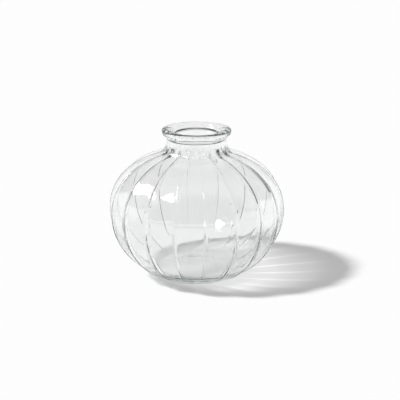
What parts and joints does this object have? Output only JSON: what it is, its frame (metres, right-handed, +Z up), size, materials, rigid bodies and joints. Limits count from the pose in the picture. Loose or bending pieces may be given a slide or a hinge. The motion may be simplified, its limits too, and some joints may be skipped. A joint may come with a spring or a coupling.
{
  "type": "balloon vase",
  "caption": "Squat round bud vase of clear fluted glass with a short neck and a flared, rounded rim, standing on a flat ring.",
  "frame": {"origin": "centre of the ring that the vase stands on, at table level", "axes": "+Z up along the vase's axis, out of its mouth; +X to the right of the picture, +Y away from the viewer"},
  "size_m": [0.1006, 0.1002, 0.0863],
  "materials": {
    "clear_glass": "clear, smooth, fire-polished, faintly green in thick sections"
  },
  "bodies": {
    "root": {"base": "clear_glass", "bowl": "clear_glass", "shoulder": "clear_glass", "neck": "clear_glass", "rim": "clear_glass"}
  },
  "joints": []
}
